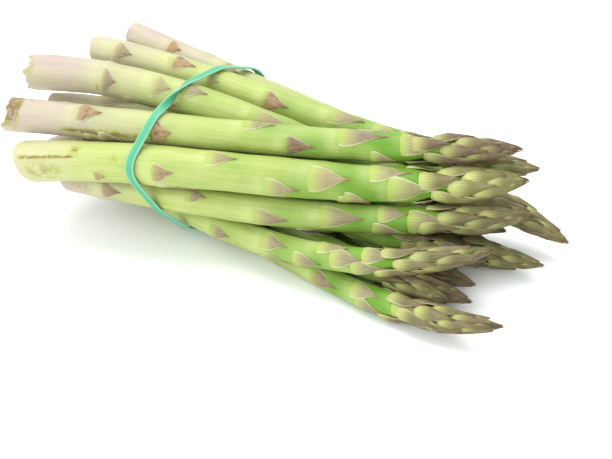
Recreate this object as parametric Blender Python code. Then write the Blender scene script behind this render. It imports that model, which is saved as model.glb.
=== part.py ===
"""A bundle of green asparagus spears held by one flat rubber band, lying on a table.

Blender 4.5, metres, +Z up. +X runs along the bundle from the cut butts to the tips, +Y is its far
side, and the origin is at the middle of the space it takes up, on the table. Each spear grew as one
piece, so it is one solid with a cut butt, a shaft and a closed bud. The spears are laid roughly
by a short table of routes, and a packing step then presses them apart and onto the table, as the
band and their own weight do.
"""

import math

import bpy
import numpy as np
from mathutils import Vector, geometry

MM = 0.001

# Layout, in millimetres
TIE_X = -57  # where the second point of each route lies
MIDDLE_X = 20  # where the third point of each route lies
SIDES = 10  # facets round a spear
PACK_STEPS = 27  # stations along a spear while the bundle is packed
PACK_ROUNDS = 400
PACK_DONE = 0.01  # the overlap left, in millimetres, at which packing stops
SPEAR_GAP = 0.4  # air left between neighbouring spears
PRESS = 0.15  # how far a spear flattens where it lies on the table

# The rubber band, in millimetres
BAND_WIDTH = 3.4
BAND_THICKNESS = 1.0
BAND_GAP = 0.4  # air left between the band and a spear
BAND_POINT = (-58, -15, 33)  # a point on the band's slanted plane
BAND_SLOPE_Y = 0.36  # how far along X the band runs for each millimetre across
BAND_SLOPE_Z = -0.22  # and for each millimetre up
BAND_SHORTEST_SIDE = 1.6

# Stations along a spear as shares of its length, closer together at the butt and in the bud.
SHAFT_STATIONS = (0, 0.04, 0.12, 0.24, 0.38, 0.52, 0.68, 0.84, 1)
BUD_PROFILE = ((0.12, 1.0), (0.3, 1.05), (0.5, 0.98), (0.7, 0.78), (0.87, 0.46), (1.0, 0.1))

# Each spear: butt (x, y, z), then y, z where it passes the band, then y, z halfway along, tip (x, y, z),
# diameters of butt, shaft and bud, length of the bud, slant of the cut, and how freely it shifts when
# packed. Millimetres, and degrees for the slant.
SPEARS = {
    "spear_top_back": ((-93, 50, 56), (44, 50), (38, 30), (96, 30, 8), 14.5, 13.4, 12, 44, 24, 0.3),
    "spear_top_second": ((-103, 35, 56), (30, 53), (26, 39), (82, 26, 43), 13.5, 12.2, 11, 40, 14, 0.2),
    "spear_top_pale": ((-121, 12, 52), (16, 54), (19, 31), (83, 23, 19), 15, 13.2, 11, 40, 8, 0.3),
    "spear_under_pale": ((-130, 38, 42), (36, 39), (28, 20), (73, 17, 13), 12, 11.4, 10.5, 38, 12, 2),
    "spear_top_front": ((-121, -8, 45), (-2, 47), (9, 45), (77, 18, 44), 14, 12.8, 11.6, 40, -12, 0.15),
    "spear_front_thick": ((-109, -18, 32), (-13, 36), (0, 34), (79, 18, 42), 17, 15.4, 13.4, 38, 16, 0.1),
    "spear_front_slim": ((-99, -7, 22), (-11, 24), (-2, 24), (81, 13, 31), 12.4, 12, 11, 36, 20, 0.1),
    "spear_front_low": ((-100, 12, 17), (3, 13), (-18, 15), (71, -9, 25), 11, 10.8, 10, 38, 10, 0.15),
    "spear_table_front": ((-98, 26, 8), (15, 7), (-20, 6), (82, -33, 11), 10.5, 9.8, 10.6, 40, 8, 0.15),
    "spear_table_short": ((-96, 20, 23), (13, 20), (-11, 7), (60, -27, 8), 11, 10.2, 10, 30, 9, 0.6),
    "spear_table_dark": ((-104, 36, 8), (25, 7), (-1, 6), (66, -20, 6), 11, 10, 9.2, 30, 11, 1),
    "spear_table_inner": ((-99, 46, 8), (35, 8), (10, 6), (66, -7, 7), 11.5, 10.6, 9.6, 30, 7, 1),
    "spear_inner_low": ((-108, 2, 31), (1, 29), (2, 13), (72, -3, 18), 12, 11.2, 10, 38, 13, 1),
    "spear_table_back": ((-101, 52, 10), (43, 9), (22, 6), (88, 11, 8), 11.5, 11, 10.8, 40, 10, 1),
    "spear_back_low": ((-97, 50, 22), (45, 21), (34, 7), (68, 25, 6), 12, 11, 9.6, 36, 12, 2),
    "spear_back_side": ((-105, 54, 37), (47, 36), (38, 19), (68, 32, 14), 12.5, 11.8, 10.4, 38, 8, 2),
    "spear_inner_mid": ((-112, 30, 22), (26, 21), (16, 12), (69, 8, 8), 12, 11, 9.8, 34, 10, 2),
    "spear_inner_high": ((-115, 18, 37), (18, 35), (13, 22), (71, 14, 20), 12.5, 11.4, 10, 34, 9, 2),
}

SPEAR_GREEN = (0.36, 0.52, 0.16, 1)
BAND_GREEN = (0.10, 0.55, 0.42, 1)


def length_of(line):
    return np.linalg.norm(np.diff(line, axis=0), axis=1).sum()


def smooth_curve(points):
    """The cubic curve that runs through or close by the points, from share 0 to share 1 of its length."""
    points = np.array(points, float)
    steps = np.linalg.norm(np.diff(points, axis=0), axis=1)
    shares = np.concatenate([[0], np.cumsum(steps)]) / steps.sum()
    return np.polyfit(shares, points, 3)


def curve_points(curve, shares):
    return np.stack([np.polyval(curve[:, axis], shares) for axis in range(3)], axis=-1)


def radius_at(design, shares, length):
    """A spear's radius at shares of its length: butt, shaft, a slight neck, then the pointed bud."""
    butt, shaft, bud, bud_length = design[4:8]
    bud_start = 1 - bud_length / length
    places = [0, 0.18, 0.5, bud_start - 0.02]
    values = [butt, (butt + 2 * shaft) / 3, shaft, (shaft + bud) * 0.47]
    for place, share in BUD_PROFILE:
        places.append(bud_start + place * (1 - bud_start))
        values.append(bud * share)
    return np.interp(shares, places, values) / 2


def band_x(y, z):
    """Where the band's slanted plane lies along X."""
    return BAND_POINT[0] + BAND_SLOPE_Y * (y - BAND_POINT[1]) + BAND_SLOPE_Z * (z - BAND_POINT[2])


def floor_height(line, radius):
    """The lowest that a spear's middle may lie: on the table, or on the band where it passes under."""
    height = radius * math.cos(math.pi / SIDES) - PRESS
    near_band = np.abs(line[:, 0] - band_x(line[:, 1], 0)) < BAND_WIDTH * 1.5
    return height + near_band * (BAND_THICKNESS + BAND_GAP + PRESS)


def push_from(line, radius, other, other_radius):
    """How far, and which way, each station of a spear has to move to stand clear of another."""
    start, run = other[:-1], np.diff(other, axis=0)
    offset = line[:, None] - start[None]
    along = np.clip((offset * run).sum(2) / (run * run).sum(1), 0, 1)
    apart = offset - along[..., None] * run
    distance = np.linalg.norm(apart, axis=2)
    room = distance - other_radius[:-1] * (1 - along) - other_radius[1:] * along
    nearest = np.arange(len(line)), room.argmin(axis=1)
    missing = np.clip(radius + SPEAR_GAP - room[nearest], 0, None)
    return missing[:, None] * apart[nearest] / distance[nearest][:, None]


def smooth_move(push, to_curve):
    """The push as a smooth bend of the whole spear, as strong at its most as the push is."""
    bend = to_curve @ push
    strength = np.abs(push).max() / max(np.abs(bend).max(), 1e-9)
    return bend * min(strength, 3)


def pack(designs):
    """Lays the spears on their routes, then presses them apart and up from the table till none overlap."""
    shares = np.linspace(0, 1, PACK_STEPS)
    basis = np.polynomial.chebyshev.chebvander(2 * shares - 1, 3)
    to_curve = basis @ np.linalg.pinv(basis)
    lines, radii = [], []
    for butt, at_band, at_middle, tip, *sizes in designs:
        route = [butt, (TIE_X, *at_band), (MIDDLE_X, *at_middle), tip]
        lines.append(curve_points(smooth_curve(route), shares))
        radii.append(radius_at((butt, at_band, at_middle, tip, *sizes), shares, length_of(lines[-1])))
    freedom = [design[9] for design in designs]
    pairs = [(one, other) for one in range(len(lines)) for other in range(len(lines)) if one != other]
    for _ in range(PACK_ROUNDS):
        pushes = [np.zeros_like(line) for line in lines]
        touches = [np.zeros(len(line)) for line in lines]
        for one, other in pairs:
            push = push_from(lines[one], radii[one], lines[other], radii[other])
            pushes[one] += push * freedom[one] / (freedom[one] + freedom[other])
            touches[one] += np.abs(push).sum(1) > 0
        for line, radius, push, touch in zip(lines, radii, pushes, touches):
            line += smooth_move(push / np.sqrt(np.maximum(touch, 1))[:, None], to_curve)
            lift = np.zeros_like(line)
            lift[:, 2] = np.clip(floor_height(line, radius) - line[:, 2], 0, None)
            line += smooth_move(lift, to_curve)
        if max(np.abs(push).max() for push in pushes) < PACK_DONE:
            break
    return lines


def clear_scene():
    for thing in list(bpy.data.objects):
        bpy.data.objects.remove(thing)


def plain_material(name, colour, roughness):
    material = bpy.data.materials.new(name)
    material.use_nodes = True
    shader = material.node_tree.nodes["Principled BSDF"]
    shader.inputs["Base Color"].default_value = colour
    shader.inputs["Roughness"].default_value = roughness
    shader.inputs["Metallic"].default_value = 0
    return material


def mesh_object(name, vertices, faces, material):
    """A smooth-shaded object whose origin is at its first vertex."""
    origin = Vector(vertices[0])
    mesh = bpy.data.meshes.new(name)
    mesh.from_pydata([Vector(vertex) - origin for vertex in vertices], [], faces)
    mesh.shade_smooth()
    mesh.set_sharp_from_angle(angle=math.radians(50))
    mesh.materials.append(material)
    thing = bpy.data.objects.new(name, mesh)
    thing.location = origin
    bpy.context.collection.objects.link(thing)
    return thing


def spear_shares(design, length):
    """The stations of the finished spear, as shares of its length."""
    bud_start = 1 - design[7] / length
    shaft = [share * bud_start for share in SHAFT_STATIONS]
    return shaft + [bud_start + place * (1 - bud_start) for place, _ in BUD_PROFILE]


def spear_rings(line, design):
    """Rings of points round a spear, each with a level facet underneath, and flat where it meets the table."""
    curve = smooth_curve(line)
    shares = spear_shares(design, length_of(line))
    radii = radius_at(design, shares, length_of(line))
    rings = []
    for index, (share, radius) in enumerate(zip(shares, radii)):
        middle = Vector(curve_points(curve, share))
        ahead = Vector(curve_points(curve, share + 0.001) - curve_points(curve, share)).normalized()
        side = ahead.cross(Vector((0, 0, 1))).normalized()
        up = side.cross(ahead)
        ring = []
        for facet in range(SIDES):
            angle = 2 * math.pi * (facet + 0.5) / SIDES - math.pi / 2
            height = radius * math.sin(angle)
            point = middle + side * radius * math.cos(angle) + up * height
            if index == 0:
                point -= ahead * height * math.tan(math.radians(design[8]))
            point.z = max(point.z, 0)
            ring.append(point)
        rings.append(ring)
    return rings


def add_spear(name, line, design, material):
    rings = spear_rings(line, design)
    vertices = [point * MM for ring in rings for point in ring]
    last = len(vertices) - SIDES
    faces = [list(range(SIDES)), [last + side for side in reversed(range(SIDES))]]
    for ring in range(len(rings) - 1):
        for side in range(SIDES):
            after = (side + 1) % SIDES
            low, high = ring * SIDES, (ring + 1) * SIDES
            faces.append([low + side, high + side, high + after, low + after])
    return mesh_object(name, vertices, faces, material)


def band_outline(lines, designs):
    """The outline of the tied spears, seen along X, with the band's air gap, as a convex loop of y, z."""
    reach = BAND_WIDTH / 2 + 0.3
    found = []
    for line, design in zip(lines, designs):
        shares = np.linspace(0, 0.6, 400)
        middles = curve_points(smooth_curve(line), shares)
        radii = radius_at(design, shares, length_of(line)) + BAND_GAP
        for turn in np.linspace(0, 2 * math.pi, 36, endpoint=False):
            y = middles[:, 1] + radii * math.cos(turn)
            z = middles[:, 2] + radii * math.sin(turn)
            inside = np.abs(middles[:, 0] - band_x(y, z)) < reach
            found += [Vector(point) for point in zip(y[inside], z[inside])]
    hull = [found[index] for index in geometry.convex_hull_2d(found)]
    loop = [hull[0]]
    for point in hull[1:]:
        if (point - loop[-1]).length > BAND_SHORTEST_SIDE and (point - loop[0]).length > BAND_SHORTEST_SIDE:
            loop.append(point)
    return loop


def add_band(loop, material):
    """The rubber band: a flat strip round the outline, its middle on a slanted plane."""
    vertices = []
    for index, point in enumerate(loop):
        before = (point - loop[index - 1]).normalized()
        after = (loop[(index + 1) % len(loop)] - point).normalized()
        outward = (before + after).orthogonal().normalized()
        if outward.dot(point - sum(loop, Vector((0, 0))) / len(loop)) < 0:
            outward.negate()
        outer = point + outward * BAND_THICKNESS / before.dot((before + after).normalized())
        x = band_x(*point)
        for edge, spot in ((-1, point), (1, point), (1, outer), (-1, outer)):
            vertices.append(Vector((x + edge * BAND_WIDTH / 2, spot.x, max(spot.y, 0))) * MM)
    faces = []
    for index in range(len(loop)):
        this, following = index * 4, (index + 1) % len(loop) * 4
        for corner in range(4):
            after = (corner + 1) % 4
            faces.append([this + corner, this + after, following + after, following + corner])
    return mesh_object("rubber_band", vertices, faces, material)


def stand_on_origin(pieces):
    """Parents every piece to one empty that brings the middle of their common box over the origin."""
    corners = [piece.location + vertex.co for piece in pieces for vertex in piece.data.vertices]
    bundle = bpy.data.objects.new("asparagus_bundle", None)
    bpy.context.collection.objects.link(bundle)
    for axis in range(2):
        places = [corner[axis] for corner in corners]
        bundle.location[axis] = -(min(places) + max(places)) / 2
    for piece in pieces:
        piece.parent = bundle


def main():
    clear_scene()
    designs = list(SPEARS.values())
    lines = pack(designs)
    green = plain_material("spear_green", SPEAR_GREEN, 0.45)
    pieces = [add_spear(name, line, SPEARS[name], green) for name, line in zip(SPEARS, lines)]
    loop = band_outline(lines, designs)
    pieces.append(add_band(loop, plain_material("band_green", BAND_GREEN, 0.5)))
    stand_on_origin(pieces)


main()
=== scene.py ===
# %% [markdown]
# # A tied bundle of green asparagus
# The bundle is eighteen spears held by one flat rubber band. This lesson gives every piece
# its looks: skin, scale leaves, buds, cut ends and rubber. Nothing is moved or resized.

# %% Load the plain model
import math

import bpy
import numpy as np
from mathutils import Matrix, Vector, geometry


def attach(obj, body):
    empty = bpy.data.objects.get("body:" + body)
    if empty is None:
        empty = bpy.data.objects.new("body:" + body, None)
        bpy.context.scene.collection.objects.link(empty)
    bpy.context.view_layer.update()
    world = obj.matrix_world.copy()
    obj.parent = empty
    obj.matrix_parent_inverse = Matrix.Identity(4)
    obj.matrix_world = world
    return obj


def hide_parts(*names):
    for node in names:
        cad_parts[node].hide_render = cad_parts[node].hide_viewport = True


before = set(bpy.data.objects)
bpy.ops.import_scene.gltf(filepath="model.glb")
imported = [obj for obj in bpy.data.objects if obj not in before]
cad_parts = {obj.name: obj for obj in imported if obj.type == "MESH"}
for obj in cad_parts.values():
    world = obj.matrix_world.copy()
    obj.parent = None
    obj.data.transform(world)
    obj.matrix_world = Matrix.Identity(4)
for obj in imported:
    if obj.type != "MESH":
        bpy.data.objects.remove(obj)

MM = 0.001
bpy.context.view_layer.update()
print("pieces in the plain model:", len(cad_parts))

# %% [markdown]
# ## Camera, light and table
# A bright, soft setting suits pale greens: a nearly white table, an even sky, and one large
# lamp high up behind the left side, so that the top of each spear is pale and its underside
# stays a deep green. A long lens keeps the far spears nearly as large as the near ones.

# %% Camera
CAMERA_AZIMUTH = math.radians(19)
CAMERA_ELEVATION = math.radians(34)
CAMERA_AIM = Vector((0.0187, -0.0180, 0.0150))
CAMERA_DISTANCE = 0.421
CAMERA_LENS = 65

forward = Vector((
    -math.sin(CAMERA_AZIMUTH) * math.cos(CAMERA_ELEVATION),
    math.cos(CAMERA_AZIMUTH) * math.cos(CAMERA_ELEVATION),
    -math.sin(CAMERA_ELEVATION),
))
camera_data = bpy.data.cameras.new("camera")
camera_data.lens = CAMERA_LENS
camera_data.clip_start = 0.01
camera = bpy.data.objects.new("camera", camera_data)
camera.location = CAMERA_AIM - forward * CAMERA_DISTANCE
camera.rotation_euler = forward.to_track_quat("-Z", "Y").to_euler()
bpy.context.scene.collection.objects.link(camera)
bpy.context.scene.camera = camera
bpy.context.scene.view_settings.view_transform = "Standard"
print("camera at", [round(value, 3) for value in camera.location])


# %% Lights, sky and table
def add_lamp(name, location, target, size, power, colour):
    lamp = bpy.data.lights.new(name, "AREA")
    lamp.shape = "DISK"
    lamp.size = size
    lamp.energy = power
    lamp.color = colour
    holder = bpy.data.objects.new(name, lamp)
    holder.location = location
    aim = Vector(target) - Vector(location)
    holder.rotation_euler = aim.to_track_quat("-Z", "Y").to_euler()
    bpy.context.scene.collection.objects.link(holder)


BUNDLE_MIDDLE = (0, 0, 0.02)
KEY_PLACE, FILL_PLACE = (-0.2, 0.22, 0.98), (-0.35, -0.9, 0.6)
add_lamp("key_lamp", KEY_PLACE, BUNDLE_MIDDLE, size=0.8, power=7.5, colour=(1, 0.99, 0.97))
add_lamp("fill_lamp", FILL_PLACE, BUNDLE_MIDDLE, size=0.9, power=5.2, colour=(0.97, 0.99, 1))

sky = bpy.data.worlds.new("sky")
sky.use_nodes = True
sky_light = sky.node_tree.nodes["Background"]
sky_light.inputs["Color"].default_value = (0.96, 0.99, 1, 1)
sky_light.inputs["Strength"].default_value = 1.16
bpy.context.scene.world = sky

TABLE_REACH = 3
table_sides = ((-1, -1), (1, -1), (1, 1), (-1, 1))
table_corners = [(x * TABLE_REACH, y * TABLE_REACH, 0) for x, y in table_sides]
table_mesh = bpy.data.meshes.new("table")
table_mesh.from_pydata(table_corners, [], [(0, 1, 2, 3)])
table = bpy.data.objects.new("table", table_mesh)
table_finish = bpy.data.materials.new("table_finish")
table_finish.use_nodes = True
table_shader = table_finish.node_tree.nodes["Principled BSDF"]
table_shader.inputs["Base Color"].default_value = (0.95, 0.96, 0.96, 1)
table_shader.inputs["Roughness"].default_value = 0.6
table_mesh.materials.append(table_finish)
bpy.context.scene.collection.objects.link(table)

# %% [markdown]
# ## Reading a spear's line
# The plain model of a spear is a stack of rings of ten points. The middles of the rings give
# the line along which it grew, and their sizes give its thickness. The first ring also shows
# how the knife went through: its slant is kept. Every detail is then placed by three numbers:
# millimetres from the cut end, the turn round the spear (0 faces the camera, positive turns
# go up) and millimetres from the spear's line. So each spear keeps its own bend.

# %% A spear's own coordinates
RING_POINTS = 10
LINE_STEPS = 400
# the line is drawn on past both ends, in millimetres, so that a frayed cut and the point have room
BEFORE_CUT, BEYOND_TIP = 8, 3


def softened(values, width, ends):
    """Each value averaged with its neighbours, over an odd number of them."""
    weights = np.hanning(width)
    padded = np.pad(values, width // 2, mode=ends)
    return np.convolve(padded, weights / weights.sum(), mode="valid")


class SpearLine:
    """The grown line of one spear, and where a point given in the spear's own numbers lies."""

    def __init__(self, node):
        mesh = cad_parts[node].data
        points = np.unique(np.round([tuple(vertex.co) for vertex in mesh.vertices], 7), axis=0) / MM
        lengthwise = np.linalg.svd(points - points.mean(0), full_matrices=False)[2][0]
        lengthwise *= np.sign(lengthwise[0])
        rings = points[np.argsort(points @ lengthwise)].reshape(-1, RING_POINTS, 3)
        middles = rings.mean(1)
        steps = np.linalg.norm(np.diff(middles, axis=0), axis=1)
        stations = np.concatenate([[0], np.cumsum(steps)])
        self.length = stations[-1]
        cubic = np.polyfit(stations, middles, 3)
        self.along = np.linspace(-BEFORE_CUT, self.length + BEYOND_TIP, LINE_STEPS)
        self.middle = np.stack([np.polyval(cubic[:, axis], self.along) for axis in range(3)], 1)
        ahead = np.gradient(self.middle, axis=0)
        self.ahead = ahead / np.linalg.norm(ahead, axis=1)[:, None]
        to_camera = -np.array(forward)
        facing = to_camera - self.ahead * (self.ahead @ to_camera)[:, None]
        self.facing = facing / np.linalg.norm(facing, axis=1)[:, None]
        self.up = np.cross(self.facing, self.ahead)
        sizes = []
        for ring, middle, station in zip(rings, middles, stations):
            arms = ring - middle
            axis = self.pick(self.ahead, station)
            sizes.append(np.linalg.norm(arms - np.outer(arms @ axis, axis), axis=1).mean())
        self.radius = softened(np.interp(self.along, stations, sizes), 15, "edge")
        arms = rings[0] - middles[0]
        across = np.stack([arms @ self.pick(self.facing, 0), arms @ self.pick(self.up, 0)], 1)
        self.slant = np.linalg.lstsq(across, arms @ self.pick(self.ahead, 0), rcond=None)[0]

    def pick(self, table, along):
        """What one of the line's own tables says at these millimetres along it."""
        along = np.asarray(along, float)
        if table.ndim == 1:
            return np.interp(along, self.along, table)
        return np.stack([np.interp(along, self.along, table[:, axis]) for axis in range(3)], -1)

    def place(self, along, turn, out):
        """Points in metres, from millimetres along, a turn in radians, and millimetres out."""
        along, turn, out = np.broadcast_arrays(along, turn, out)
        toward = np.cos(turn)[..., None] * self.pick(self.facing, along)
        toward = toward + np.sin(turn)[..., None] * self.pick(self.up, along)
        return (self.pick(self.middle, along) + toward * out[..., None]) * MM


lines = {name: SpearLine(name) for name in sorted(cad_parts) if name.startswith("spear")}
for name, line in lines.items():
    print(name, "is", round(line.length), "mm long")

# %% [markdown]
# ## One mesh for each spear
# A spear is one grown thing, so its skin, its scale leaves and its bud become one mesh. It is
# collected patch by patch: each patch is a grid of points that closes round on itself. Every
# point also carries a few numbers that the materials read later, such as how far up the
# spear it is, or where it lies on its leaf. That way no flat picture has to be wrapped round.

# %% Collecting patches
SKIN, LEAF, SCALE, CUT = range(4)
# what the marks hold, three numbers each:
# grain: the point's own place in millimetres, which the textures use
# leaf: how far up the leaf (or the spear) it lies, where across, and a chance number
# tone: how bleached, how dry and how purple it is (on the skin: bleached, 0 and lilac)
# wear and painted light, the last mark: on the skin, below a leaf, in a leaf's shade and scarred;
#       on a leaf, only its underside, darkened on the bud scales as painted shade; on the band, its
#       cut edge, lightened as a painted highlight, and where it rolls over, darkened as painted
#       shade
MARKS = ("grain", "leaf", "tone", "wear_and_painted_light")
TABLE_GAP = 0.02 * MM
SHARP_FROM = math.radians(48)


class Growth:
    """Collects patches into one mesh, with four marks of three numbers for every point."""

    def __init__(self):
        self.points, self.faces, self.finishes = [], [], []
        self.marks = {mark: [] for mark in MARKS}
        self.count = 0

    def patch(self, points, finish, marks, closed_ends=(True, True)):
        """Adds a grid whose rows each close into a ring."""
        rows, columns = points.shape[:2]
        index = self.count + np.arange(rows * columns).reshape(rows, columns)
        beside = np.roll(index, -1, axis=1)
        quads = np.stack([index[:-1], index[1:], beside[1:], beside[:-1]], -1)
        quads = quads.reshape(-1, 4).tolist()
        if closed_ends[0]:
            quads.append(index[0].tolist())
        if closed_ends[1]:
            quads.append(index[-1][::-1].tolist())
        self.points.append(points.reshape(-1, 3))
        self.faces += quads
        self.finishes += [finish] * len(quads)
        for mark in MARKS:
            value = np.broadcast_arrays(points[..., 0], *marks[mark])[1:]
            self.marks[mark].append(np.stack(value, -1).reshape(-1, 3))
        self.count += rows * columns

    def finish(self, name, materials):
        """Makes the mesh of all patches; nothing reaches into the table."""
        points = np.concatenate(self.points)
        points[:, 2] = np.maximum(points[:, 2], TABLE_GAP)
        mesh = bpy.data.meshes.new(name)
        mesh.from_pydata(points.tolist(), [], self.faces)
        mesh.polygons.foreach_set("material_index", self.finishes)
        mesh.shade_smooth()
        mesh.set_sharp_from_angle(angle=SHARP_FROM)
        for mark in MARKS:
            layer = mesh.attributes.new(mark, "FLOAT_VECTOR", "POINT")
            values = np.concatenate(self.marks[mark]).astype(np.float32)
            layer.data.foreach_set("vector", values.ravel())
        for material in materials:
            mesh.materials.append(material)
        piece = bpy.data.objects.new(name, mesh)
        bpy.context.scene.collection.objects.link(piece)
        return piece


def smooth_step(value, low, high):
    """Rises softly from 0 at low to 1 at high."""
    share = np.clip((np.asarray(value, float) - low) / (high - low), 0, 1)
    return share * share * (3 - 2 * share)


# %% [markdown]
# ## What differs from spear to spear
# Spears from one field still differ: how long the pale underground part is, how red the
# bud has turned in the sun, how dry its leaves are. Each spear has a line of such facts, and
# the spears seen from the front also have their own list of scale leaves. On the others
# the leaves follow the plant's own rule: each stands 137.5 degrees further round.

# %% Facts of each spear
# bleached millimetres at the butt, lilac there (0 to 1), purple of the bud, dryness of the bud,
# millimetres of fray at the cut
SPEAR_FACTS = {
    "spear_top_back": (70, 0.9, 0.5, 0.45, 0.8),
    "spear_top_second": (46, 0.5, 0.3, 0.3, 0.5),
    "spear_top_pale": (62, 0.8, 0.3, 0.35, 3.2),
    "spear_under_pale": (60, 0.4, 0.5, 0.3, 3.0),
    "spear_top_front": (66, 1.0, 1.0, 0.15, 2.0),
    "spear_front_thick": (26, 0.0, 0.05, 0.15, 0.4),
    "spear_front_slim": (34, 0.9, 0.3, 0.2, 0.6),
    "spear_front_low": (50, 0.4, 0.55, 0.45, 0.5),
    "spear_table_front": (50, 0.3, 0.6, 0.15, 0.5),
    "spear_table_short": (45, 0.4, 0.2, 0.3, 0.5),
    "spear_table_dark": (45, 0.5, 1.0, 0.3, 0.5),
    "spear_table_inner": (50, 0.6, 0.9, 0.3, 0.5),
    "spear_inner_low": (50, 0.5, 0.75, 0.35, 0.6),
    "spear_table_back": (50, 0.3, 0.1, 0.15, 0.5),
    "spear_back_low": (50, 0.4, 0.3, 0.3, 0.6),
    "spear_back_side": (50, 0.5, 0.4, 0.3, 0.5),
    "spear_inner_mid": (55, 0.5, 0.6, 0.3, 0.5),
    "spear_inner_high": (55, 0.6, 0.5, 0.3, 0.6),
}
# scale leaves seen from the front: base in millimetres from the butt, turn in degrees, length and
# width in millimetres, dryness and purple (0 to 1)
SEEN_LEAVES = {
    "spear_top_back": [
        (17, 22, 6, 8, 1.0, 0.2), (41, 30, 9, 9, 0.5, 0.6),
    ],
    "spear_top_second": [
        (10, 10, 9, 12, 0.2, 0.5), (36, 32, 10, 9, 1.0, 0.2), (52, 0, 5, 7, 0.2, 0.0),
        (76, -5, 11, 10, 0.9, 0.3), (103, 35, 14, 10, 0.6, 0.3), (121, 22, 13, 9, 0.3, 0.1),
    ],
    "spear_top_pale": [
        (32, -12, 7, 14, 0.25, 0.6), (53, 12, 8, 12, 0.1, 0.0), (60, -38, 6, 6, 1.0, 0.2),
        (65, 32, 10, 9, 0.5, 0.4), (93, 18, 19, 9, 0.6, 0.4),
    ],
    "spear_under_pale": [
        (24, 20, 10, 11, 0.3, 0.5),
    ],
    "spear_top_front": [
        (31, 30, 10, 10, 0.95, 0.3), (40, -68, 9, 8, 0.6, 0.6), (62, -22, 7, 12, 1.0, 0.1),
        (96, 48, 12, 7, 0.5, 0.3), (112, -25, 12, 9, 1.0, 0.9), (132, 34, 18, 10.5, 0.5, 0.85),
        (144, -58, 9, 8, 0.5, 0.3), (155, 16, 16, 11, 0.4, 0.85),
    ],
    "spear_front_thick": [
        (32, -46, 4, 5, 1.0, 0.2), (55, -25, 8, 8.5, 0.85, 0.3), (75, 37, 11, 8, 0.45, 0.4),
        (97, -41, 13, 9.5, 0.5, 0.3), (113, 2, 15, 11.5, 0.62, 0.15), (126, -62, 9, 8, 0.4, 0.2),
        (135, 38, 15, 9, 0.5, 0.3), (142, -20, 17, 11, 0.5, 0.1), (153, 12, 14, 9, 0.3, 0.1),
    ],
    "spear_front_slim": [
        (19, -26, 9, 8, 0.75, 0.7), (55, 15, 8, 7.5, 0.6, 0.6), (82, -35, 13, 9, 0.5, 0.7),
        (107, -4, 16, 10, 0.5, 0.6), (126, -54, 12, 8.5, 0.4, 0.5), (128, 25, 11, 8, 0.35, 0.4),
        (139, -7, 15, 10.5, 0.4, 0.5),
    ],
    "spear_front_low": [
        (69, -35, 9, 8, 0.5, 0.8), (93, 8, 11, 8.5, 0.45, 0.5), (107, -42, 11, 8, 0.5, 0.7),
        (116, 50, 12, 8, 0.4, 0.3), (122, 2, 12, 9.5, 0.4, 0.5), (130, -38, 12, 8, 0.4, 0.5),
        (134, 30, 11, 8.5, 0.4, 0.7),
    ],
    "spear_table_front": [
        (116, -25, 12, 8.5, 0.75, 0.7), (134, 15, 12, 8.5, 0.35, 0.3), (137, -50, 11, 8, 0.6, 0.6),
        (152, 4, 14, 10, 0.5, 0.6),
    ],
}


# %% The leaves' own spiral
GOLDEN_ANGLE = math.radians(137.5)
ANY_TURN = 6.28
FIRST_LEAF = 16.0
LEAF_GAPS = (14, 9.5, 4.6)


def scale_leaves(name, line, bud_start, rolls):
    """Every scale leaf of the shaft: the listed ones in front, the plant's own spiral elsewhere."""
    listed = SEEN_LEAVES.get(name, [])
    leaves = [(base, math.radians(turn), *rest) for base, turn, *rest in listed]
    along, turn = FIRST_LEAF + rolls.uniform(0, 6), rolls.uniform(0, ANY_TURN)
    while along < bud_start - 2:
        in_front = math.cos(turn - 0.2) > -0.1
        if not (listed and in_front):
            width = 1.7 * line.pick(line.radius, along) * rolls.uniform(0.8, 1)
            dryness = float(np.clip(rolls.normal(0.5, 0.2), 0.2, 1))
            length, purple = rolls.uniform(10, 14), rolls.uniform(0.1, 0.6)
            leaves.append((along, turn, length, width, dryness, purple))
        along += np.interp(along, [0, 60, line.length], LEAF_GAPS)
        turn += GOLDEN_ANGLE
    return leaves


# %% [markdown]
# ## The skin
# The skin is a tube that follows the spear's line. A real shaft isn't quite round: it has weak
# flutes, and it swells a little where each leaf sits. At the cut it follows the slant of the
# knife, with a soft or frayed edge, and inside the bud it shrinks to make room for the scales.
# Handling leaves bruises and dry scratches, which are marked on the points for the finish.

# %% Thickness of the skin
# all in millimetres; the skin lies a little inside the plain model, to leave room for the leaves
SKIN_INSET = 0.28
LEAF_SWELL = 0.28
THINNEST_CORE = 0.12
BUD_LENGTH = 40
BUD_LENGTHS = {
    "spear_top_back": 44, "spear_table_short": 30, "spear_table_dark": 30, "spear_table_inner": 30,
    "spear_inner_mid": 34, "spear_inner_high": 34, "spear_back_low": 36, "spear_front_slim": 38,
}
# the lowest scales of the bud start this far below it, and stand fully out this far up it
SCALES_START, SCALES_FULL = 5, 7
# depth of the bud's scales, by the distance from its point
SCALE_DEPTHS = ((0, 4, 12, 24), (0.3, 1.0, 2.1, 2.3))
# how far up the shaft the slant and the fray of the cut can be felt
SLANT_REACH, FRAY_REACH = 16, 7


def around(turn, other):
    """The smallest angle between two turns."""
    return (turn - other + math.pi) % (2 * math.pi) - math.pi


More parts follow.
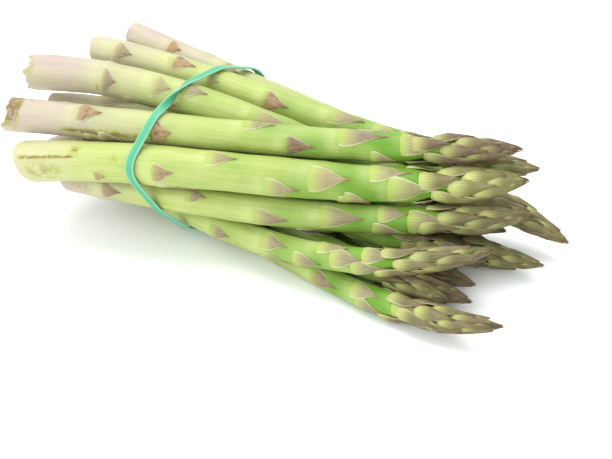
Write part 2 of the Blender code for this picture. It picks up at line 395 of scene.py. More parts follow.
class Spear:
    """One spear's line, facts and leaves, and the shape of its skin."""

    def __init__(self, name, seed):
        self.name, self.line = name, lines[name]
        self.bleached, self.lilac, self.purple, self.dry, self.frayed = SPEAR_FACTS[name]
        self.bud_start = self.line.length - BUD_LENGTHS.get(name, BUD_LENGTH)
        self.rolls = np.random.default_rng(seed)
        self.phases = self.rolls.uniform(0, ANY_TURN, 8)
        self.offset = self.rolls.uniform(0, 500, 3)
        self.leaves = scale_leaves(name, self.line, self.bud_start, self.rolls)

    def scale_room(self, along):
        """How deep the bud's scales stand on the core, in millimetres."""
        rise = smooth_step(along, self.bud_start - SCALES_START, self.bud_start + SCALES_FULL)
        return rise * np.interp(self.line.length - along, *SCALE_DEPTHS)

    def skin(self, along, turn):
        """The skin's distance from the line, in millimetres."""
        radius = self.line.pick(self.line.radius, along) - SKIN_INSET
        a, b, c, d = self.phases[:4]
        flutes = 0.012 * np.cos(5 * turn + a + 0.01 * along)
        flutes = flutes + 0.008 * np.cos(8 * turn + b - 0.014 * along)
        swell = 0.014 * np.sin(0.11 * along + c + np.cos(turn))
        swell = swell + 0.008 * np.sin(0.31 * along + d + 2 * np.sin(turn))
        radius = radius * (1 + flutes + swell)
        for base, leaf_turn, _, width, *_ in self.leaves:
            off = around(turn, leaf_turn) * radius / (0.6 * width)
            radius = radius + LEAF_SWELL * np.exp(-((along - base - 0.5) / 2.2) ** 2 - off ** 2)
        return np.maximum(radius - self.scale_room(along), THINNEST_CORE)

    def cut_shift(self, along, turn):
        """How far the knife's slant and the fray move a point of the butt along the spear."""
        radius = float(self.line.pick(self.line.radius, 0))
        slant = radius * (np.cos(turn) * self.line.slant[0] + np.sin(turn) * self.line.slant[1])
        e, f, g = self.phases[4:7]
        fray = 0.5 * np.cos(2 * turn + e) + 0.3 * np.cos(5 * turn + f) + 0.2 * np.cos(11 * turn + g)
        slanted = slant * (1 - smooth_step(along, 0, SLANT_REACH))
        return slanted + self.frayed * fray * (1 - smooth_step(along, 0, FRAY_REACH))

    def grain(self, along, turn, radius):
        """A point's place in straight numbers, shifted so that no two spears look the same."""
        return (radius * np.cos(turn) + self.offset[0], radius * np.sin(turn) + self.offset[1],
                along + self.offset[2])

    def tone(self, along, dry=0.0, purple=None):
        """Bleached, dry and purple; without a purple of its own the skin gets its lilac."""
        bleach = 1 - smooth_step(along, self.bleached * 0.25, self.bleached * 1.35)
        return bleach, dry, self.lilac * bleach if purple is None else purple


# %% Bruises and scars
# along in millimetres, turn in degrees, half length and half width in millimetres, strength
SCARS = {
    "spear_top_front": [
        (41, -44, 19, 2.0, 0.92), (34, 30, 6, 3.5, 0.6), (3, 0, 5, 9, 0.75), (64, -40, 4, 4, 0.8),
        (3, 60, 4, 7, 0.6),
    ],
    "spear_front_thick": [
        (14, 8, 11, 0.7, 1.3), (12, -34, 8, 5, 0.6), (40, 8, 2, 2.2, 0.6), (3, -20, 4, 7, 0.2),
        (24, 34, 3, 2.5, 0.8),
    ],
    "spear_top_back": [
        (19, 20, 3, 4, 0.7), (3, -30, 4, 5, 0.4),
    ],
    "spear_top_pale": [
        (54, 12, 0.7, 6, 0.8), (33, -42, 3, 2, 0.8), (2, 0, 3, 7, 0.45),
    ],
    "spear_top_second": [
        (37, 32, 4, 4, 0.6), (56, 4, 1.5, 3, 0.5),
    ],
    "spear_front_slim": [
        (10, -30, 6, 3, 0.5), (21, -24, 3, 4, 0.5),
    ],
}


def scars(spear, along, turn):
    """How bruised or scarred the skin is."""
    found = np.zeros_like(along)
    radius = spear.line.pick(spear.line.radius, along)
    for place, degrees, half_length, half_width, strength in SCARS.get(spear.name, []):
        off = around(turn, math.radians(degrees)) * radius / half_width
        found += strength * np.exp(-(((along - place) / half_length) ** 4) - off ** 2)
    return np.clip(found, 0, 1)


# %% Growing the body and its cut face
# points round the skin, and millimetres from ring to ring; the rings are closer at the cut's edge
ROUND = 44
RING_STEP = 0.9
CUT_RINGS = (0, 0.25, 0.7, 1.4)
# shares of the full radius: at these millimetres from the cut, and for the rings of the cut face
EDGE_ROUNDING = ((0, 0.25, 0.7, 1.6), (0.92, 0.965, 0.988, 1))
CUT_SHARES = (0.05, 0.16, 0.34, 0.52, 0.7, 0.84, 0.92)
turns = np.linspace(-math.pi, math.pi, ROUND, endpoint=False)


def grow_body(growth, spear):
    """The skin, from the cut's edge to the point."""
    line = spear.line
    shaft = np.arange(2.3, line.length - 0.4, RING_STEP)
    along = np.concatenate([CUT_RINGS, shaft, [line.length - 0.2]])
    along, turn = np.meshgrid(along, turns, indexing="ij")
    radius = spear.skin(along, turn) * np.interp(along, *EDGE_ROUNDING)
    behind, ahead = np.zeros_like(along), np.zeros_like(along)
    for base, leaf_turn, length, width, *_ in spear.leaves:
        off = around(turn, leaf_turn) * radius / (0.62 * width)
        behind += np.exp(-((along - base + 2.6) / 2.6) ** 2 - off ** 2)
        ahead += np.exp(-((along - base - length * 0.8) / (length * 0.55)) ** 2 - off ** 2)
    wear_and_painted_light = np.clip(behind, 0, 1), np.clip(ahead, 0, 1), scars(spear, along, turn)
    shifted = along + spear.cut_shift(along, turn)
    growth.patch(line.place(shifted, turn, radius), SKIN, {
        "grain": spear.grain(along, turn, radius), "leaf": (along / line.length, turn, 0.5),
        "tone": spear.tone(along), "wear_and_painted_light": wear_and_painted_light,
    }, closed_ends=(False, True))


def grow_cut(growth, spear):
    """The cut face: rings that shrink towards its middle, a little dished."""
    shares = np.array(CUT_SHARES)[:, None]
    turn = turns + 0 * shares
    radius = spear.skin(np.zeros_like(turn), turn) * shares
    dished = 0.5 * (1 - shares ** 2) + 0.12 * np.cos(7 * turn + 9 * shares)
    shifted = spear.cut_shift(np.zeros_like(turn), turn) * np.clip(shares * 1.08, 0, 1)
    shifted = shifted + dished * (shares < 0.9)
    growth.patch(spear.line.place(shifted, turn, radius), CUT, {
        "grain": spear.grain(shifted * 0, turn, radius), "leaf": (shares + 0 * turn, turn, 0.5),
        "tone": spear.tone(shifted * 0), "wear_and_painted_light": (0, 0, 0),
    }, closed_ends=(True, False))


# %% [markdown]
# ## Scale leaves and bud scales
# A scale leaf is a thin, pointed flap pressed against the shaft. Its base is grown on, its edges
# are thin and its dry tip often stands off a little. The bud is nothing but such flaps, packed
# in a spiral, each bulging over the next. So one shape serves both: a closed, flat shell laid
# out in the spear's own numbers, which bends with the shaft however the shaft runs.

# %% One flap
FLAP_ROWS = 13
ACROSS = np.array([-1, -0.88, -0.62, -0.3, 0, 0.3, 0.62, 0.88, 1])
# for each kind of flap: how far up it, its share of the full width there, and how round its base is
FLAP_SHAPES = {
    LEAF: ((0, 0.1, 0.28, 0.46, 0.64, 0.82, 1), (0.94, 1, 0.88, 0.62, 0.34, 0.12, 0.02), 0.05),
    SCALE: ((0, 0.08, 0.27, 0.48, 0.68, 0.85, 1), (0.9, 1, 0.97, 0.74, 0.41, 0.18, 0.03), 0.02),
}
# where up a flap its four heights hold: base, ledge, belly and tip
HEIGHTS_AT = (0, 0.1, 0.4, 1)
# millimetres
FLAP_THICKNESS, ROOT_DEPTH, KEEL_HEIGHT, RIPPLE_HEIGHT = 0.26, 0.35, 0.1, 0.04


def grow_flap(growth, spear, finish, base, turn, length, width, heights, edge_drop, tone, sweep):
    """One flap; heights are above the skin, edge_drop is how far its edges bow down to it."""
    reaches, widths, base_roundness = FLAP_SHAPES[finish]
    reach = np.linspace(0, 1, FLAP_ROWS)[:, None] ** 0.9
    across = np.concatenate([ACROSS, ACROSS[::-1]])[None]
    top = np.concatenate([np.ones(len(ACROSS)), np.zeros(len(ACROSS))])[None]
    half_width = width / 2 * np.interp(reach, reaches, widths)
    rounding = base_roundness * length * (1 - reach) ** 2 * (1 - across ** 2)
    along = base + length * reach - rounding
    inside = np.minimum(along, spear.line.length + 0.6)
    skin = spear.skin(inside, turn + 0 * inside)
    bend = np.maximum(skin + heights[2], 0.4)
    chance = spear.rolls.uniform(0, 1)
    place_turn = turn + sweep * reach ** 2 + across * half_width / bend
    own_skin = spear.skin(inside, place_turn)
    lift = np.interp(reach, HEIGHTS_AT, heights)
    ripple = RIPPLE_HEIGHT * np.sin(6 * reach + 5 * across + 20 * chance)
    lift = lift * (1 - edge_drop * across ** 2 * (1 - 0.5 * reach ** 3)) + ripple
    keel = KEEL_HEIGHT * np.exp(-((across / 0.16) ** 2)) * smooth_step(reach, 0.3, 0.9)
    thickness = FLAP_THICKNESS * (1 - 0.6 * across ** 2) * (1 - 0.4 * reach)
    thickness = thickness + (ROOT_DEPTH + heights[0]) * (1 - reach) ** 5
    out = own_skin + lift + keel - (1 - top) * thickness
    # on a flap's underside the last mark's third number is 1; the bud scales are darkened there as
    # painted shade
    growth.patch(spear.line.place(along, place_turn, np.maximum(out, 0.05)), finish, {
        "grain": spear.grain(along, place_turn, out), "leaf": (reach, across, chance),
        "tone": spear.tone(along, *tone), "wear_and_painted_light": (0, 0, 1 - top),
    })


# %% Leaves and bud
LEAF_EDGE_DROP, SCALE_EDGE_DROP = 0.6, 0.55
NARROWEST_SCALE = 2.2
LAST_SCALE = 4.5
# from the bud's foot (0) to its point (1): a scale's length in millimetres, its width in radii of
# the spear, and the millimetres to the next scale
SCALE_LENGTHS = ((0, 0.25, 0.6, 1), (13, 16, 16, 10))
SCALE_WIDTHS = ((0, 0.3, 0.7, 1), (1.6, 1.55, 1.5, 1.7))
SCALE_GAPS = ((0, 0.3, 0.7, 1), (2.5, 1.9, 1.4, 1.1))


def grow_leaves(growth, spear):
    """The scale leaves of the shaft; the drier a leaf is, the more its tip stands off."""
    for base, turn, length, width, dry, purple in spear.leaves:
        tip = 0.3 + 0.5 * dry * spear.rolls.uniform(0.5, 1.2)
        heights = (0.22, 0.42, 0.45, tip)
        grow_flap(growth, spear, LEAF, base, turn, length, width, heights, LEAF_EDGE_DROP,
                  (dry, purple), sweep=spear.rolls.normal(0, 0.05))


def grow_bud(growth, spear):
    """The scales of the bud, from the lowest up to the point."""
    line, rolls = spear.line, spear.rolls
    base, turn = spear.bud_start - SCALES_START, rolls.uniform(0, ANY_TURN)
    tip = line.length
    while base < tip - LAST_SCALE:
        share = (base - spear.bud_start + SCALES_START) / (tip - spear.bud_start + SCALES_START)
        radius = float(line.pick(line.radius, base + 4))
        length = np.interp(share, *SCALE_LENGTHS) * rolls.uniform(0.9, 1.12)
        length = min(length, tip + 0.2 - base - rolls.uniform(0, 1.2))
        width = np.interp(share, *SCALE_WIDTHS) * radius * rolls.uniform(0.9, 1.08)
        depth = float(spear.scale_room(base + length * 0.5))
        tip_height = depth * rolls.uniform(0.9, 1.1)
        tip_height = tip_height * np.interp(tip - base - length, [0, 5], [0.2, 1])
        heights = (0.15 * depth, 0.7 * depth, 1.15 * depth, tip_height)
        dry = float(np.clip(spear.dry + rolls.normal(0, 0.16), 0, 1))
        purple = float(np.clip(spear.purple + rolls.normal(0, 0.16), 0, 1))
        width = max(width, NARROWEST_SCALE)
        grow_flap(growth, spear, SCALE, base, turn, length, width, heights, SCALE_EDGE_DROP,
                  (dry, purple), sweep=rolls.normal(0, 0.08))
        base += np.interp(share, *SCALE_GAPS)
        turn += GOLDEN_ANGLE


# %% [markdown]
# ## Small helpers for the materials
# A material here is a graph of nodes. These helpers place a node and connect it in one line,
# so that each finish below reads as what it does. Colours are written as they look on a
# screen, from 0 to 255, and turned into the linear numbers that a shader takes. The lamps
# here make everything brighter, so a surface's own colour is a fixed share of the seen one.

# %% Node helpers
OWN_SHARE = 0.84


def seen(red, green, blue):
    """The surface's own linear colour, from the colour seen under these bright lamps."""
    values = [value / 255 for value in (red, green, blue)]
    return [OWN_SHARE * ((value + 0.055) / 1.055) ** 2.4 for value in values] + [1]


def fill_inputs(tree, made, inputs):
    """Gives each named or numbered input its value, or links another node's output to it."""
    for socket, value in inputs.items():
        if isinstance(value, bpy.types.NodeSocket):
            tree.links.new(value, made.inputs[socket])
        else:
            made.inputs[socket].default_value = value


def node(tree, kind, inputs, **settings):
    """Adds a node with its settings and inputs."""
    made = tree.nodes.new("ShaderNode" + kind)
    for setting, value in settings.items():
        setattr(made, setting, value)
    fill_inputs(tree, made, inputs)
    return made


def blend(tree, share, first, second):
    """A mix of two colours: share 0 is the first, 1 the second."""
    return node(tree, "Mix", {0: share, 6: first, 7: second}, data_type="RGBA").outputs[2]


def maths(tree, operation, first, second=0.0):
    return node(tree, "Math", {0: first, 1: second}, operation=operation).outputs[0]


def times(tree, first, second):
    return maths(tree, "MULTIPLY", first, second)


def plus(tree, first, second):
    return maths(tree, "ADD", first, second)


def minus(tree, first, second):
    return maths(tree, "SUBTRACT", first, second)


def between(tree, value, low, high, first=0.0, second=1.0):
    """The value's place between low and high, from first to second."""
    inputs = {"Value": value, "From Min": low, "From Max": high, "To Min": first, "To Max": second}
    return node(tree, "MapRange", inputs, interpolation_type="SMOOTHSTEP").outputs["Result"]


def read_mark(tree, mark):
    """A mark as a vector, and its three numbers one by one."""
    found = node(tree, "Attribute", {}, attribute_name=mark).outputs["Vector"]
    split = node(tree, "SeparateXYZ", {0: found})
    return [found] + list(split.outputs)


def new_group(name, inputs, outputs):
    """An empty effect with named sockets: its tree, what comes in and where it goes out."""
    group = bpy.data.node_groups.new(name, "ShaderNodeTree")
    for socket, (kind, value) in inputs.items():
        made = group.interface.new_socket(socket, in_out="INPUT", socket_type="NodeSocket" + kind)
        if value is not None:
            made.default_value = value
    for socket, kind in outputs.items():
        group.interface.new_socket(socket, in_out="OUTPUT", socket_type="NodeSocket" + kind)
    entry = group.nodes.new("NodeGroupInput")
    leave = group.nodes.new("NodeGroupOutput")
    return group, entry.outputs, leave.inputs


def use_group(tree, group, inputs):
    """Places a shared effect and gives back its outputs."""
    placed = tree.nodes.new("ShaderNodeGroup")
    placed.node_tree = group
    fill_inputs(tree, placed, inputs)
    return placed.outputs


def new_material(name):
    """A material with its tree and its shader."""
    material = bpy.data.materials.new(name)
    material.use_nodes = True
    return material, material.node_tree, material.node_tree.nodes["Principled BSDF"]


def add_relief(tree, shader, height, strength, distance):
    """Relief too fine for the mesh; the distance is in metres."""
    relief = node(tree, "Bump", {"Height": height, "Strength": strength, "Distance": distance})
    tree.links.new(relief.outputs[0], shader.inputs["Normal"])


def let_light_in(shader, weight, colours, depth):
    """Flesh and rubber let a little light in and out again; the depth is in metres."""
    shader.inputs["Subsurface Weight"].default_value = weight
    shader.inputs["Subsurface Radius"].default_value = colours
    shader.inputs["Subsurface Scale"].default_value = depth


# %% [markdown]
# ## Effects that several finishes share
# Plants are built of long fibres, so their colour changes in fine streaks along the spear. They
# also carry soft patches, small specks and, on each leaf, a thin pale edge and a dry tip. Each of
# these effects is one node group, which each material uses with its own values.

# %% Streaks, patches and specks
def streaks_group():
    """Fine lines that run along the spear: out comes 0 to 1."""
    sockets = {"Grain": ("Vector", None), "Fineness": ("Float", 2.0), "Stretch": ("Float", 0.06)}
    group, entry, leave = new_group("long_streaks", sockets, {"Streaks": "Float"})
    narrow = node(group, "CombineXYZ", {0: 1.0, 1: 1.0, 2: entry["Stretch"]}).outputs[0]
    stretched = node(group, "VectorMath", {0: entry["Grain"], 1: narrow}, operation="MULTIPLY")
    noise = node(group, "TexNoise", {"Vector": stretched.outputs[0], "Scale": entry["Fineness"],
                                     "Detail": 3.0, "Roughness": 0.6}).outputs["Fac"]
    group.links.new(between(group, noise, 0.3, 0.7), leave["Streaks"])
    return group


def patches_group():
    """Soft patches of a size given in millimetres: out comes 0 to 1."""
    sockets = {"Grain": ("Vector", None), "Size": ("Float", 10.0), "Cover": ("Float", 0.5)}
    group, entry, leave = new_group("soft_patches", sockets, {"Patches": "Float"})
    scale = maths(group, "DIVIDE", 1.0, entry["Size"])
    noise = node(group, "TexNoise", {"Vector": entry["Grain"], "Scale": scale, "Detail": 4.0,
                                     "Roughness": 0.55, "Distortion": 0.4}).outputs["Fac"]
    low = minus(group, 0.95, entry["Cover"])
    high = plus(group, low, 0.22)
    group.links.new(between(group, noise, low, high), leave["Patches"])
    return group


def specks_group():
    """Small dark specks and pinholes."""
    sockets = {"Grain": ("Vector", None), "Spacing": ("Float", 2.0), "Radius": ("Float", 0.2)}
    group, entry, leave = new_group("specks", sockets, {"Specks": "Float"})
    scale = maths(group, "DIVIDE", 1.0, entry["Spacing"])
    cells = node(group, "TexVoronoi", {"Vector": entry["Grain"], "Scale": scale, "Randomness": 1.0})
    luck = node(group, "SeparateXYZ", {0: cells.outputs["Color"]}).outputs[0]
    some = maths(group, "GREATER_THAN", luck, 0.72)
    near = between(group, cells.outputs["Distance"], 0.0, entry["Radius"], 1.0, 0.0)
    group.links.new(times(group, near, some), leave["Specks"])
    return group


def leaf_marks_group():
    """Masks of one leaf: its thin edge, its dry tip, its grown-on base and its veins."""
    group, entry, leave = new_group(
        "leaf_marks", {"Leaf": ("Vector", None), "Grain": ("Vector", None)},
        {"Edge": "Float", "Tip": "Float", "Base": "Float", "Veins": "Float"})
    up, across, _ = node(group, "SeparateXYZ", {0: entry["Leaf"]}).outputs
    noise = node(group, "TexNoise", {"Vector": entry["Grain"], "Scale": 0.45, "Detail": 3.0})
    wander = noise.outputs["Fac"]
    side = plus(group, maths(group, "ABSOLUTE", across), times(group, wander, 0.16))
    group.links.new(between(group, side, 0.88, 1.06), leave["Edge"])
    end = plus(group, up, times(group, wander, 0.5))
    group.links.new(between(group, end, 0.96, 1.28), leave["Tip"])
    group.links.new(between(group, minus(group, up, times(group, wander, 0.12)),
                            -0.06, 0.16, 1.0, 0.0), leave["Base"])
    fan = times(group, across, minus(group, 30.0, times(group, up, 12.0)))
    wave = maths(group, "SINE", plus(group, fan, times(group, wander, 3.0)))
    group.links.new(between(group, wave, -0.2, 1.0), leave["Veins"])
    return group


streaks, patches = streaks_group(), patches_group()
specks, leaf_marks = specks_group(), leaf_marks_group()
print("shared effects:", [group.name for group in (streaks, patches, specks, leaf_marks)])

# %% [markdown]
# ## The skin's finish
# Light makes a spear green. The part that grew underground stays cream, often with a lilac
# blush, and the green deepens towards the bud. Just below a leaf's base the skin is paler, and the
# part that the leaf shaded is a fresher green. A waxy bloom gives a soft, broad shine.


# %% Skin
def skin_material():
    material, tree, shader = new_material("spear_skin")
    grain = read_mark(tree, "grain")[0]
    share = read_mark(tree, "leaf")[1]
    _, bleach, _, lilac = read_mark(tree, "tone")
    _, behind, ahead, scar = read_mark(tree, "wear_and_painted_light")
    fine = use_group(tree, streaks, {"Grain": grain, "Fineness": 2.2, "Stretch": 0.04})["Streaks"]
    broad = use_group(tree, streaks, {"Grain": grain, "Fineness": 0.7, "Stretch": 0.05})["Streaks"]
    cloud = use_group(tree, patches, {"Grain": grain, "Size": 14.0, "Cover": 0.52})["Patches"]
    dots = use_group(tree, specks, {"Grain": grain, "Spacing": 1.7, "Radius": 0.14})["Specks"]

    green = blend(tree, between(tree, share, 0.25, 0.85), seen(184, 195, 106), seen(122, 162, 42))
    green = blend(tree, times(tree, fine, 0.34), green, seen(210, 212, 158))
    green = blend(tree, times(tree, broad, 0.36), green, seen(136, 170, 48))
    green = blend(tree, times(tree, cloud, 0.3), green, seen(194, 202, 130))
    pale = blend(tree, fine, seen(208, 202, 162), seen(190, 194, 138))
    pale = blend(tree, times(tree, lilac, between(tree, cloud, 0.0, 1.0, 0.55, 0.95)), pale,
                 seen(190, 166, 168))
    colour = blend(tree, bleach, green, pale)
    colour = blend(tree, times(tree, behind, 0.35), colour, seen(206, 216, 146))
    fresh = times(tree, ahead, between(tree, share, 0.25, 0.8, 0.15, 0.78))
    colour = blend(tree, fresh, colour, seen(88, 148, 0))
    colour = blend(tree, between(tree, share, 0.9, 0.96), colour, seen(116, 104, 62))
    colour = blend(tree, times(tree, dots, 0.35), colour, seen(112, 128, 60))
    crumbs = use_group(tree, patches, {"Grain": grain, "Size": 2.6, "Cover": 0.58})["Patches"]
    crumbled = plus(tree, times(tree, crumbs, 0.6), 0.5)
    hurt = between(tree, times(tree, scar, crumbled), 0.12, 0.8, 0.0, 0.9)
    bruise = blend(tree, fine, seen(146, 160, 56), seen(184, 182, 88))
    rot = blend(tree, fine, seen(110, 90, 44), seen(160, 136, 78))
    colour = blend(tree, hurt, colour, blend(tree, between(tree, scar, 0.45, 0.85), bruise, rot))
    tree.links.new(colour, shader.inputs["Base Color"])

    rough = plus(tree, times(tree, cloud, 0.08), 0.36)
    tree.links.new(plus(tree, rough, times(tree, hurt, 0.3)), shader.inputs["Roughness"])
    ridges = plus(tree, times(tree, fine, 0.6), times(tree, broad, 0.5))
    ridges = minus(tree, ridges, times(tree, hurt, 1.2))
    ridges = minus(tree, ridges, times(tree, dots, 0.4))
    add_relief(tree, shader, ridges, 0.35, 0.0003)
    shader.inputs["Specular IOR Level"].default_value = 0.3
    let_light_in(shader, 0.12, (0.6, 1.0, 0.3), 0.0015)
    return material


# %% [markdown]
# ## Leaves, scales and the cut
# A scale leaf is papery: grey-beige or mauve, with fine veins, a thin white edge and a tip that has
# dried to orange-brown. The bud's scales are the same leaves while still alive: green at the base,
# turning purple where the sun reached them. The cut end shows pale flesh full of small pores, the
# ends of the fibres.


# %% Scale leaves on the shaft
def leaf_material():
    material, tree, shader = new_material("scale_leaf")
    grain = read_mark(tree, "grain")[0]
    leaf, up, _, chance = read_mark(tree, "leaf")
    _, bleach, dry, purple = read_mark(tree, "tone")
    masks = use_group(tree, leaf_marks, {"Leaf": leaf, "Grain": grain})
    fine = use_group(tree, streaks, {"Grain": grain, "Fineness": 2.6, "Stretch": 0.12})["Streaks"]
    cloud = use_group(tree, patches, {"Grain": grain, "Size": 3.5, "Cover": 0.5})["Patches"]

    living = blend(tree, chance, seen(152, 152, 92), seen(166, 154, 108))
    living = blend(tree, times(tree, purple, 0.8), living, seen(120, 92, 84))
    root = blend(tree, purple, seen(184, 198, 102), seen(172, 176, 104))
    root = blend(tree, bleach, root, seen(196, 182, 142))
    living = blend(tree, between(tree, up, 0.05, 0.5), root, living)
    living = blend(tree, times(tree, purple, between(tree, up, 0.3, 1.0, 0.0, 0.75)), living,
                   seen(104, 78, 64))
    withered = blend(tree, cloud, seen(178, 140, 98), seen(112, 80, 48))
    withered = blend(tree, times(tree, purple, 0.8), withered, seen(84, 66, 40))
    colour = blend(tree, between(tree, dry, 0.5, 1.0), living, withered)
    colour = blend(tree, times(tree, masks["Veins"], 0.14), colour, seen(138, 122, 84))
    colour = blend(tree, times(tree, fine, 0.2), colour, seen(224, 214, 176))
    grown_on = blend(tree, bleach, seen(170, 194, 84), seen(204, 198, 156))
    colour = blend(tree, times(tree, masks["Base"], 0.85), colour, grown_on)
    colour = blend(tree, times(tree, masks["Edge"], 0.55), colour, seen(230, 226, 190))
    tip = times(tree, masks["Tip"], between(tree, dry, 0.1, 0.6, 0.35, 0.95))
    colour = blend(tree, tip, colour, blend(tree, cloud, seen(170, 120, 78), seen(118, 80, 50)))
    tree.links.new(colour, shader.inputs["Base Color"])
    shader.inputs["Roughness"].default_value = 0.62
    height = plus(tree, times(tree, masks["Veins"], 0.6), fine)
    add_relief(tree, shader, height, 0.4, 0.0003)
    let_light_in(shader, 0.1, (0.8, 0.8, 0.4), 0.001)
    return material


# %% Scales of the bud
def scale_material():
    material, tree, shader = new_material("bud_scale")
    grain = read_mark(tree, "grain")[0]
    leaf, up, _, chance = read_mark(tree, "leaf")
    _, _, dry, purple = read_mark(tree, "tone")
    painted_underside_shade = read_mark(tree, "wear_and_painted_light")[3]
    masks = use_group(tree, leaf_marks, {"Leaf": leaf, "Grain": grain})
    fine = use_group(tree, streaks, {"Grain": grain, "Fineness": 2.4, "Stretch": 0.1})["Streaks"]
    cloud = use_group(tree, patches, {"Grain": grain, "Size": 4.0, "Cover": 0.5})["Patches"]

    green = blend(tree, chance, seen(88, 94, 28), seen(122, 120, 50))
    root = blend(tree, purple, seen(200, 210, 122), seen(178, 182, 100))
    green = blend(tree, between(tree, up, 0.06, 0.5), root, green)
    sunned = blend(tree, cloud, seen(98, 64, 48), seen(64, 38, 34))
    colour = blend(tree, times(tree, purple, between(tree, up, 0.1, 0.6, 0.1, 1.0)), green, sunned)
    colour = blend(tree, times(tree, dry, between(tree, up, 0.2, 0.9, 0.1, 0.8)), colour,
                   seen(150, 132, 92))
    colour = blend(tree, times(tree, masks["Veins"], 0.14), colour, seen(92, 82, 40))
    colour = blend(tree, times(tree, fine, 0.14), colour, seen(204, 198, 160))
    colour = blend(tree, times(tree, masks["Edge"], 0.5), colour, seen(214, 206, 152))
    colour = blend(tree, times(tree, masks["Tip"], 0.7), colour, seen(112, 74, 46))
    # painted shade: each scale's underside and the thin rim round its edge are darkened, like the
    # shade between the scales
    colour = blend(tree, between(tree, painted_underside_shade, 0.25, 0.9, 0.0, 0.85), colour, seen(66, 58, 26))
    tree.links.new(colour, shader.inputs["Base Color"])
    shader.inputs["Roughness"].default_value = 0.5
    height = plus(tree, times(tree, masks["Veins"], 0.7), fine)
    add_relief(tree, shader, height, 0.4, 0.0003)
    let_light_in(shader, 0.1, (0.8, 0.9, 0.3), 0.001)
    return material


# %% The cut end
def cut_material():
    material, tree, shader = new_material("cut_flesh")
    grain = read_mark(tree, "grain")[0]
    share = read_mark(tree, "leaf")[1]
    pores = use_group(tree, specks, {"Grain": grain, "Spacing": 0.9, "Radius": 0.45})["Specks"]
    cloud = use_group(tree, patches, {"Grain": grain, "Size": 4.0, "Cover": 0.5})["Patches"]
    colour = blend(tree, cloud, seen(232, 228, 190), seen(214, 202, 152))
    colour = blend(tree, between(tree, share, 0.75, 0.92), colour, seen(196, 176, 124))
    colour = blend(tree, times(tree, pores, 0.6), colour, seen(158, 136, 88))
    tree.links.new(colour, shader.inputs["Base Color"])
    shader.inputs["Roughness"].default_value = 0.7
    height = minus(tree, cloud, pores)
    add_relief(tree, shader, height, 0.6, 0.0004)
    return material


# %% Growing all spears
spear_materials = [skin_material(), leaf_material(), scale_material(), cut_material()]
for seed, name in enumerate(lines, start=11):
    spear, growth = Spear(name, seed), Growth()
    grow_body(growth, spear)
    grow_cut(growth, spear)
    grow_leaves(growth, spear)
    grow_bud(growth, spear)
    piece = growth.finish(name.replace("spear", "grown"), spear_materials)
    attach(piece, "root")
    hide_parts(name)
    print(piece.name, "has", len(piece.data.polygons), "faces and", len(spear.leaves), "leaves")

# %% [markdown]
# ## The rubber band
# The band is cut from a flat rubber tube. Stretched round the bundle it pulls straight across the
# hollows between the spears, and it has rolled over once in front and once behind. The path
# comes from the plain model's loop, and a small rounded section is drawn along it and turned as
# it goes. Its cut edges carry a painted highlight, and where it rolls it is darkened by painted
# shade.

# %% The band's path
BAND_HALF_WIDTH = 1.65
BAND_HALF_THICKNESS = 0.5
BAND_STEPS = 420

band_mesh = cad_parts["rubber_band"].data
corners = np.array([tuple(vertex.co) for vertex in band_mesh.vertices]) / MM
flat = np.c_[np.ones(len(corners)), corners[:, 1:]]
plane = np.linalg.lstsq(flat, corners[:, 0], rcond=None)[0]
hull = corners[geometry.convex_hull_2d([Vector(corner[1:]) for corner in corners]), 1:]
following = np.roll(hull, -1, axis=0)
distances = np.concatenate([[0], np.cumsum(np.linalg.norm(following - hull, axis=1))])
closed = np.concatenate([hull, hull[:1]])
travel = np.linspace(0, distances[-1], BAND_STEPS, endpoint=False)
loop = np.stack([np.interp(travel, distances, closed[:, axis]) for axis in range(2)], 1)
loop = np.stack([softened(loop[:, axis], 11, "wrap") for axis in range(2)], 1)
ahead = np.roll(loop, -1, axis=0) - np.roll(loop, 1, axis=0)
ahead /= np.linalg.norm(ahead, axis=1)[:, None]
outward = np.stack([ahead[:, 1], -ahead[:, 0]], 1)
outward *= np.sign((outward * (loop - loop.mean(0))).sum(1).mean())
print("the band is", round(distances[-1]), "mm round")

# %% The band's turned section
# where it rolls over, in millimetres: the place's y and z, and the length that the roll takes
TWISTS = ((-7, 54, 26), (45, 12, 26))
SECTION_POINTS = 20
# a power below 1 makes the section's round corners squarer
CORNER_POWER = 0.45
EDGE_LIFT = 0.2

turned = np.zeros(BAND_STEPS)
for y, z, run in TWISTS:
    nearest = np.linalg.norm(loop - (y, z), axis=1).argmin()
    from_here = (np.arange(BAND_STEPS) - nearest) * distances[-1] / BAND_STEPS
    turned += math.pi * smooth_step(from_here, -run / 2, run / 2)


def squared(wave):
    return np.sign(wave) * np.abs(wave) ** CORNER_POWER


section_turn = np.linspace(0, 2 * math.pi, SECTION_POINTS, endpoint=False)
flat_x = BAND_HALF_WIDTH * squared(np.cos(section_turn))
flat_out = BAND_HALF_THICKNESS * squared(np.sin(section_turn))
edge_on = np.abs(np.sin(turned))[:, None]
cosine, sine = np.cos(turned)[:, None], np.sin(turned)[:, None]
shift_x = cosine * flat_x - sine * flat_out
shift_out = sine * flat_x + cosine * flat_out - BAND_HALF_THICKNESS + EDGE_LIFT * edge_on
place = loop[:, None] + outward[:, None] * shift_out[..., None]
x = plane[0] + loop @ plane[1:]
rubber_points = np.concatenate([(x[:, None] + shift_x)[..., None], place], -1) * MM
print("the band turns", round(math.degrees(turned[-1])), "degrees in all")


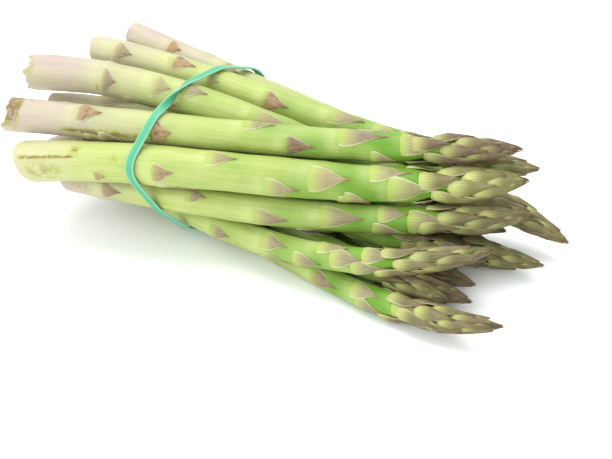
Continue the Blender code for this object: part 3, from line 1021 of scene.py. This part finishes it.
# %% Rubber
def rubber_material():
    material, tree, shader = new_material("turquoise_rubber")
    grain = read_mark(tree, "grain")[0]
    _, cut_edge_highlight, rolling_shade, _ = read_mark(tree, "wear_and_painted_light")
    fine_lines = {"Grain": grain, "Fineness": 1.6, "Stretch": 1.0}
    lines_along = use_group(tree, streaks, fine_lines)["Streaks"]
    cloud = use_group(tree, patches, {"Grain": grain, "Size": 9.0, "Cover": 0.5})["Patches"]
    dust = use_group(tree, specks, {"Grain": grain, "Spacing": 1.4, "Radius": 0.2})["Specks"]
    colour = blend(tree, cloud, seen(78, 176, 132), seen(104, 192, 148))
    colour = blend(tree, times(tree, lines_along, 0.25), colour, seen(44, 146, 104))
    # painted highlight: the cut edges are lightened
    colour = blend(tree, times(tree, cut_edge_highlight, 0.8), colour, seen(160, 222, 192))
    # painted shade: the band is darkened where it rolls over on its edge across the hollows
    colour = blend(tree, times(tree, rolling_shade, 0.3), colour, seen(24, 132, 96))
    colour = blend(tree, times(tree, dust, 0.3), colour, seen(150, 214, 190))
    tree.links.new(colour, shader.inputs["Base Color"])
    tree.links.new(plus(tree, times(tree, cloud, 0.12), 0.42), shader.inputs["Roughness"])
    height = minus(tree, lines_along, times(tree, dust, 0.5))
    add_relief(tree, shader, height, 0.3, 0.0002)
    let_light_in(shader, 0.1, (0.3, 1.0, 0.7), 0.001)
    return material


# %% The band as one closed mesh
rows, columns = rubber_points.shape[:2]
index = np.arange(rows * columns).reshape(rows, columns)
beside, after = np.roll(index, -1, axis=1), np.roll(index, -1, axis=0)
quads = np.stack([index, beside, np.roll(after, -1, axis=1), after], -1).reshape(-1, 4)
rubber_mesh = bpy.data.meshes.new("rubber_tie")
rubber_mesh.from_pydata(rubber_points.reshape(-1, 3).tolist(), [], quads.tolist())
rubber_mesh.shade_smooth()
# the cut edges' share is lightened as a painted highlight; edge_on, where the band turns on its
# edge, is darkened as painted shade
cut_edge_highlight = smooth_step(np.abs(flat_x), 1.1, 1.6)
band_marks = {
    "grain": (travel[:, None] * 0.06, flat_x * 1.5, flat_out),
    "wear_and_painted_light": (cut_edge_highlight, edge_on, 0),
}
for mark, values in band_marks.items():
    values = np.broadcast_arrays(rubber_points[..., 0], *values)[1:]
    layer = rubber_mesh.attributes.new(mark, "FLOAT_VECTOR", "POINT")
    layer.data.foreach_set("vector", np.stack(values, -1).astype(np.float32).ravel())
rubber_mesh.materials.append(rubber_material())
tie = bpy.data.objects.new("rubber_tie", rubber_mesh)
bpy.context.scene.collection.objects.link(tie)
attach(tie, "root")
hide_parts("rubber_band")
print("the band has", len(rubber_mesh.polygons), "faces")

# %% Update the scene
bpy.context.view_layer.update()
